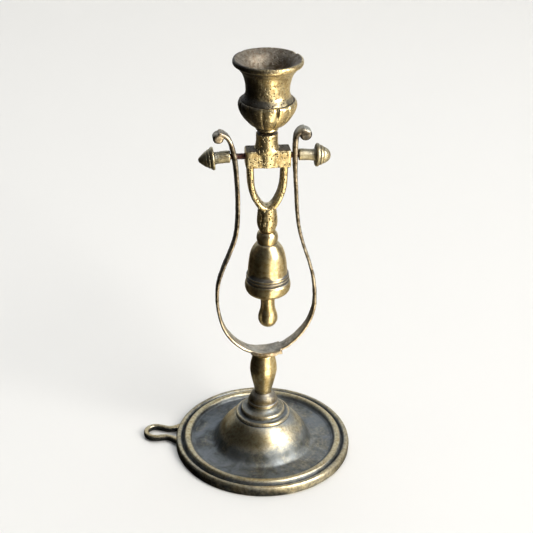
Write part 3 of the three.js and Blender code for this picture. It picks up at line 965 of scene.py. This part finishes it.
def candle_socket():
    """Foot bead, bowl, shoulder, neck and lip outside, and the candle's bore inside."""
    foot = SOCKET_FOOT
    outline = [
        (0, foot + 6), (2.2, foot + 6), (2.2, foot + 0.3), (2.5, foot), (3.8, foot), (4.5, foot + 0.35),
        *spline([(5.6, foot + 0.6), (6.05, foot + 1.1), (5.95, foot + 1.7), (5.6, foot + 2.2)], 0.2),
        *spline([(6.2, 205.1), (7.4, 205.7), (8.8, 206.5), (10.8, 208.2), (12.7, 210.4), (14.2, 212.8),
                 (15.1, 214.9), (15.55, 216.8), (15.55, 218.3), (15.2, 219.3), (14.7, 219.85)], 0.4),
        (14.3, 219.95), (14.0, 219.6), (13.7, 219.9),
        *spline([(13.5, 220.4), (13.0, 221.2), (12.4, 222.2), (11.9, 223.4),
                 (11.65, 225), (11.75, 227.6), (12.1, 230), (12.7, 232.4), (13.8, 235), (15.3, 237)], 0.5),
        (15.9, 238.0), (16.5, 238.5), (17.6, 239.1),
        *spline([(18.1, 239.4), (18.45, 240.1), (18.45, 241.1), (18.15, 241.9), (17.6, 242.2),
                 (16.9, 242.1)], 0.25),
        *spline([(15.6, 241.2), (13.6, 239.8), (11.6, 237.2), (10.4, 234), (9.85, 230.5), (9.75, 228)], 0.5),
        (9.75, CANDLE_SEAT + 0.5), (9.2, CANDLE_SEAT), (0, CANDLE_SEAT),
    ]
    return revolve("candle_socket_fine", outline, 288, gadroon, corner=0.25)


# ------------ counterweight

def weight_bell():
    """A hollow bell with two bands round it and a bead at its top."""
    top = 143.3
    outline = [
        (2.2, top), (2.2, 134.4),
        *spline([(3.8, 133.6), (5.6, 130), (7.2, 124.6), (7.7, 118), (7.8, 110), (7.4, 106.5)], 1.5),
        (5.4, 105), (5.4, 102.8),
        *spline([(5.8, 102.7), (6.4, 102.8), (6.8, 103.2), (6.8, 103.9)], 0.25),
        *spline([(8.2, 104.3), (9.8, 104.9), (11.3, 105.8), (12.3, 107), (12.8, 108.5), (12.9, 110.2),
                 (12.7, 111.8)], 0.4),
        (12.3, 112.6), (11.9, 113),
        *spline([(11.75, 113.4), (12.1, 114), (12.15, 114.8), (11.8, 115.3)], 0.2),
        *spline([(11.6, 115.5), (11.95, 116), (11.9, 116.7), (11.4, 117.1)], 0.2),
        *spline([(11.1, 117.8), (10.95, 120.5), (10.5, 125), (9.7, 129.4), (8.6, 132.4), (6.9, 135),
                 (5.95, 136), (5.35, 136.4)], 0.5),
        *spline([(5.5, 136.8), (5.85, 138), (5.98, 139.5), (5.7, 141.2), (5.2, 142.4)], 0.3),
        (4.7, 142.9), (4.6, top), (2.2, top),
    ]
    skin = cast_skin(0.09, 0.16, 5)
    return revolve("weight_bell_fine", outline, 160, skin, leaning(), corner=0.2)


def weight_drop():
    """The drop under the bell, with the end of it that is screwed in."""
    outline = [
        *spline([(0, 82.45), (1.4, 82.55), (3.0, 83.2), (4.5, 84.6), (5.4, 86.6), (5.55, 88.4), (5.25, 90.6),
                 (4.7, 92.6), (4.25, 94.4), (4.0, 96.6), (4.0, 99), (4.15, 101.6)], 0.4),
        (4.9, 102.2), (5.1, 107), (0, 107),
    ]
    return revolve("weight_drop_fine", outline, 112, cast_skin(0.05, 0.25, 6), leaning(), corner=0.2)


# ------------ where each piece is polished

def base_tone(x, y, z, normal):
    """Polished on the dome, more on its left than on its right, and rubbed on the rings and the rim, whose
    bottom edge is kept dark as painted shade; tarnished in the pan, less towards its right, and in the
    grooves.
    """
    r = np.hypot(x, y)
    dome = between(z, 13, 21, 5) * (r < 27) * (0.78 - 0.4 * x / 20)
    steps = between(r, 8.3, 16.2, 0.6) * (z > 22)
    pan = 0.22 * step_up(x, -10, 35) * between(r, 28, 41, 2)
    ring = between(r, 43.3, 46.4, 0.7)
    # painted shade: the rim's polish stops short of its bottom edge, where it meets the floor
    rim = step_up(r, 48.7, 49.5) * step_up(z, 0.8, 1.8) - 0.45 * step_up(r, 51.2, 51.8)
    return 0.05 + 0.95 * dome + 0.22 * steps + pan + 0.7 * ring + 0.38 * rim


def loop_tone(x, y, z, normal):
    """Lighter along its upward faces than on its sides."""
    return 0.1 + 0.75 * step_up(normal[:, 2], 0.3, 0.8)


def stem_tone(x, y, z, normal):
    """The foot of the stem is tarnished like the dome's steps."""
    return 0.25 + 0.6 * step_up(z, 37, 41) - 0.6 * step_up(z, 66.2, 66.6)


def socket_tone(x, y, z, normal):
    """Polished on the lobes and neck, duller at the lip and dark on the shoulder, with painted shade on its
    left side and in the gap at its foot.
    """
    r = np.hypot(x, y)
    shoulder = between(z, 219.7, 222.6, 0.8) * (r > 11)
    # painted shade: the left side is made less polished, and so darker
    left = step_up(-x / np.maximum(r, 1), -0.15, 0.75)
    # painted shade in the gap between the foot and the boss below
    gap_shade = 1 - step_up(z, SOCKET_FOOT + 0.4, SOCKET_FOOT + 0.9)
    return 0.74 - 0.5 * shoulder - 0.8 * left - 0.3 * step_up(z, 239, 241) - 0.9 * gap_shade


def bell_tone(x, y, z, normal):
    """Polished, with patches of tarnish where the lower bands begin."""
    edge = 117.5 + 1.6 * np.sin(np.arctan2(y, x) * 3 + 1) + 0.9 * np.sin(np.arctan2(y, x) * 7)
    return 0.74 - 0.7 * step_up(z, 112, 114) * (1 - step_up(z, edge, edge + 1.5))


def bell_cool(z):
    """Grey tarnish on the bands and on the bead above the bell."""
    return 0.9 * between(z, 112, 118.5, 1) + 0.5 * between(z, 137, 142, 1.5)


def knob_tone(x, y, z, normal):
    """Duller than the rest, and least polished where the head meets its shank."""
    out = np.abs(x)
    return 0.55 - 0.35 * between(out, 26, 29, 1.2)


def head_tone(x, y, z, normal):
    """Polished in front and on the boss; dull on the block's upper faces and inside the stirrup, with
    painted shade in the gap at the boss's top.
    """
    top = step_up(normal[:, 2], 0.45, 0.85)
    inside = step_up(-normal[:, 0] * np.sign(x), 0.5, 0.9) * (z < 182)
    # painted shade in the gap between the boss's top and the socket's foot
    gap_shade = step_up(z, BOSS_TOP - 1.2, BOSS_TOP - 0.8)
    return 0.72 - 0.95 * top * (z > 185) - 0.35 * inside - 0.9 * gap_shade


def strip_tone(x, y, z, normal):
    """The arms' wide faces are dark with painted shade and their narrow edges lighter with painted light
    across the strip's section; the edges and the bottom are rubbed too, and the right roll is dull.
    """
    # painted shading across the strip: dark wide faces, lighter narrow edges
    edge = step_up(np.abs(normal[:, 1]), 0.6, 0.95)
    bottom = 1 - step_up(z, 78, 100)
    roll = step_up(z, 196, 199) * np.where(x < 0, 0.3, -0.25)
    return 0.02 + 0.3 * edge + 0.42 * bottom + roll


# ------------ put together

dress(base_dish(), base_brass, "base_brass", "stand", "base_dish", tone=base_tone, spread=5, gain=1.2)
dress(hanging_loop(), base_brass, "base_brass", "stand", tone=loop_tone, spread=2, gain=0.5)
dress(stem(), body_brass, "aged_brass", "stand", "stem", tone=stem_tone)
dress(stem_nut(), body_brass, "aged_brass", "stand", "stem_nut")
dress(stem_washer(), body_brass, "aged_brass", "stand", "stem_washer")
dress(lyre_frame(), strip_brass, "strip_brass", "stand", "lyre_frame", tone=strip_tone, spread=3, gain=0.5)

# side, direction, shank and head, seed of the skin, droop in degrees and where the shank is bent
SCREWS = [
    ("left", -1, LEFT_SHANK, POINTED_HEAD, 3, 6, 22),
    ("right", 1, RIGHT_SHANK, BLUNT_HEAD, 4, 4, 19.5),
]
for side, direction, shank, head, seed, droop, bent_at in SCREWS:
    stud = threaded_stud(f"{side}_stud_thread", f"{side}_pivot_stud", direction)
    dress(stud, steel, "rusty_steel", f"{side}_screw", f"{side}_pivot_stud")
    turned_knob = knob(f"{side}_knob_fine", shank, head, direction, seed, droop, bent_at)
    dress(turned_knob, knob_brass, "aged_brass", f"{side}_screw_knob", f"{side}_knob", tone=knob_tone)

dress(cross_head(), cast_brass, "aged_brass", "swinging_head", "cross_head", tone=head_tone,
      spread=6, gain=1.2)
dress(candle_socket(), socket_brass, "socket_brass", "swinging_head", "candle_socket",
      tone=socket_tone, spread=4, gain=1.3)
dress(weight_bell(), body_brass, "aged_brass", "swinging_head", "weight_bell", tone=bell_tone,
      cool=bell_cool)
dress(weight_drop(), body_brass, "aged_brass", "swinging_head", "weight_drop")

for node, material in (("socket_stud", steel), ("weight_stud", steel), ("weight_core", lead)):
    paint(frame["nodes"][node], material)


# ------------ studio

def pale(name, colour):
    """A matt finish, so that the surroundings don't show in it."""
    n = Nodes(name)
    n.set(Base_Color=(*colour, 1), Roughness=1.0, Specular_IOR_Level=0.0)
    return n.material


def make_floor():
    """A pale table top that curves up into a backdrop."""
    metres = [(-6, 0), (0.9, 0), (1.15, 0.03), (1.35, 0.12), (1.45, 0.3), (1.5, 0.6), (1.5, 2.2)]
    side_view = [(y / MM, z / MM) for y, z in metres]
    line = side_view[:1] + spline(side_view[1:], 60)
    half_width = 5000
    vertices = [(x, y, z) for y, z in line for x in (-half_width, half_width)]
    faces = [[2 * i, 2 * i + 1, 2 * i + 3, 2 * i + 2] for i in range(len(line) - 1)]
    floor = mesh_object("floor", vertices, faces)
    floor.data.materials.append(pale("pale_floor", (0.80, 0.78, 0.75)))


WARM = np.array((1.0, 0.90, 0.70))
COOL = np.array((0.84, 0.89, 0.96))
WHITE = np.array((1.0, 0.97, 0.92))


def room_light(azimuth, height):
    """What the metal mirrors in each direction, in degrees: a tall window at the front right,
    a pale wall behind, a dark room at the left and its glow on a warm table top."""
    back = azimuth % 360  # 0 to 360 from +X, unbroken at the back
    front = (azimuth + 270) % 360 - 270  # -270 to 90, unbroken at the left and front
    below = 1 - step_up(height, -4, 4)
    table = 0.01 + 0.08 * between(front, -128, -80, 6) + 3.6 * between(front, -80, -42, 4)
    table = table + 0.65 * between(front, -42, 88, 12) + 0.35 * between(back, 88, 120, 8)
    wall = 0.75 * between(back, 15, 135, 14) * between(height, -10, 50, 12)
    window = 11.0 * between(front, -58, -22, 5) * between(height, 4, 60, 4)
    ceiling = 0.4 * step_up(height, 50, 75)
    room = 0.02 + wall + ceiling
    upper = room[:, None] * COOL + window[:, None] * WHITE
    return below[:, None] * table[:, None] * WARM + (1 - below)[:, None] * upper


def make_surroundings():
    """A tent with a flat bottom. Only the metal's reflections see it."""
    radius, bottom, middle = 880.0, 0.4, 110.0
    around = 120
    downwards = -28.0  # the height, in degrees, that stands for the table top
    angles = np.arange(around) * 2 * math.pi / around
    rings = [(r, bottom, downwards) for r in (1.0, 56.0, 66.0, 90.0, 140.0, 300.0, 600.0)]
    for height in np.linspace(-6, 88, 48):
        a = math.radians(height)
        rings.append((radius * math.cos(a), middle + radius * math.sin(a), height))
    vertices, light = [], []
    for r, z, height in rings:
        vertices += [(r * math.cos(a), r * math.sin(a), max(z, bottom)) for a in angles]
        glow = room_light(np.degrees(angles), np.full(around, height))
        shaded = 0.5 * (1 - float(step_up(r, 50, 70))) if height == downwards else 0  # under the base
        light.append(glow * (1 - shaded))
    faces = tube_faces(len(rings), around)
    del faces[-2]  # the tiny ring at the bottom's middle stays open
    tent = mesh_object("surroundings", vertices, faces)
    tent.location.x = AXIS_X * MM
    colours = np.ones((len(vertices), 4), np.float32)
    colours[:, :3] = np.concatenate(light)
    attribute = tent.data.attributes.new("light", "FLOAT_COLOR", "POINT")
    attribute.data.foreach_set("color", colours.ravel())
    n = Nodes("surroundings")
    glow = n.add("ShaderNodeEmission")
    n.link(n.add("ShaderNodeAttribute", attribute_name="light").outputs["Color"], glow.inputs["Color"])
    n.link(glow.outputs[0], n.output.inputs["Surface"])
    tent.data.materials.append(n.material)
    only_in_reflections(tent)


def only_in_reflections(thing):
    for ray in ("camera", "diffuse", "shadow", "transmission", "volume_scatter"):
        setattr(thing, f"visible_{ray}", False)


def lamp(name, at, towards, size, power, colour):
    """A soft lamp that lights the floor and isn't seen, in the metal or by the camera."""
    data = bpy.data.lights.new(name, "AREA")
    data.shape = "RECTANGLE"
    data.size, data.size_y = size[0] * MM, size[1] * MM
    data.energy = power
    data.color = colour
    made = add_object(name, data)
    facing = (Vector(towards) - Vector(at)).to_track_quat("-Z", "Y").to_matrix().to_4x4()
    made.matrix_world = Matrix.Translation(Vector(at) * MM) @ facing
    made.visible_glossy = False
    made.visible_camera = False


def make_world():
    world = bpy.data.worlds.new("studio")
    world.use_nodes = True
    background = world.node_tree.nodes["Background"]
    background.inputs["Color"].default_value = (0.80, 0.86, 0.93, 1)
    background.inputs["Strength"].default_value = 0.3
    bpy.context.scene.world = world


MIDDLE = (AXIS_X, 0, 110)
make_floor()
make_world()
make_surroundings()
lamp("window", (1300, -1400, 1600), MIDDLE, (1400, 1400), 50, (1.0, 0.98, 0.94))
lamp("overhead", (100, 300, 2300), MIDDLE, (2000, 1600), 27, (0.95, 0.98, 1.0))
bpy.context.scene.view_settings.view_transform = "Standard"
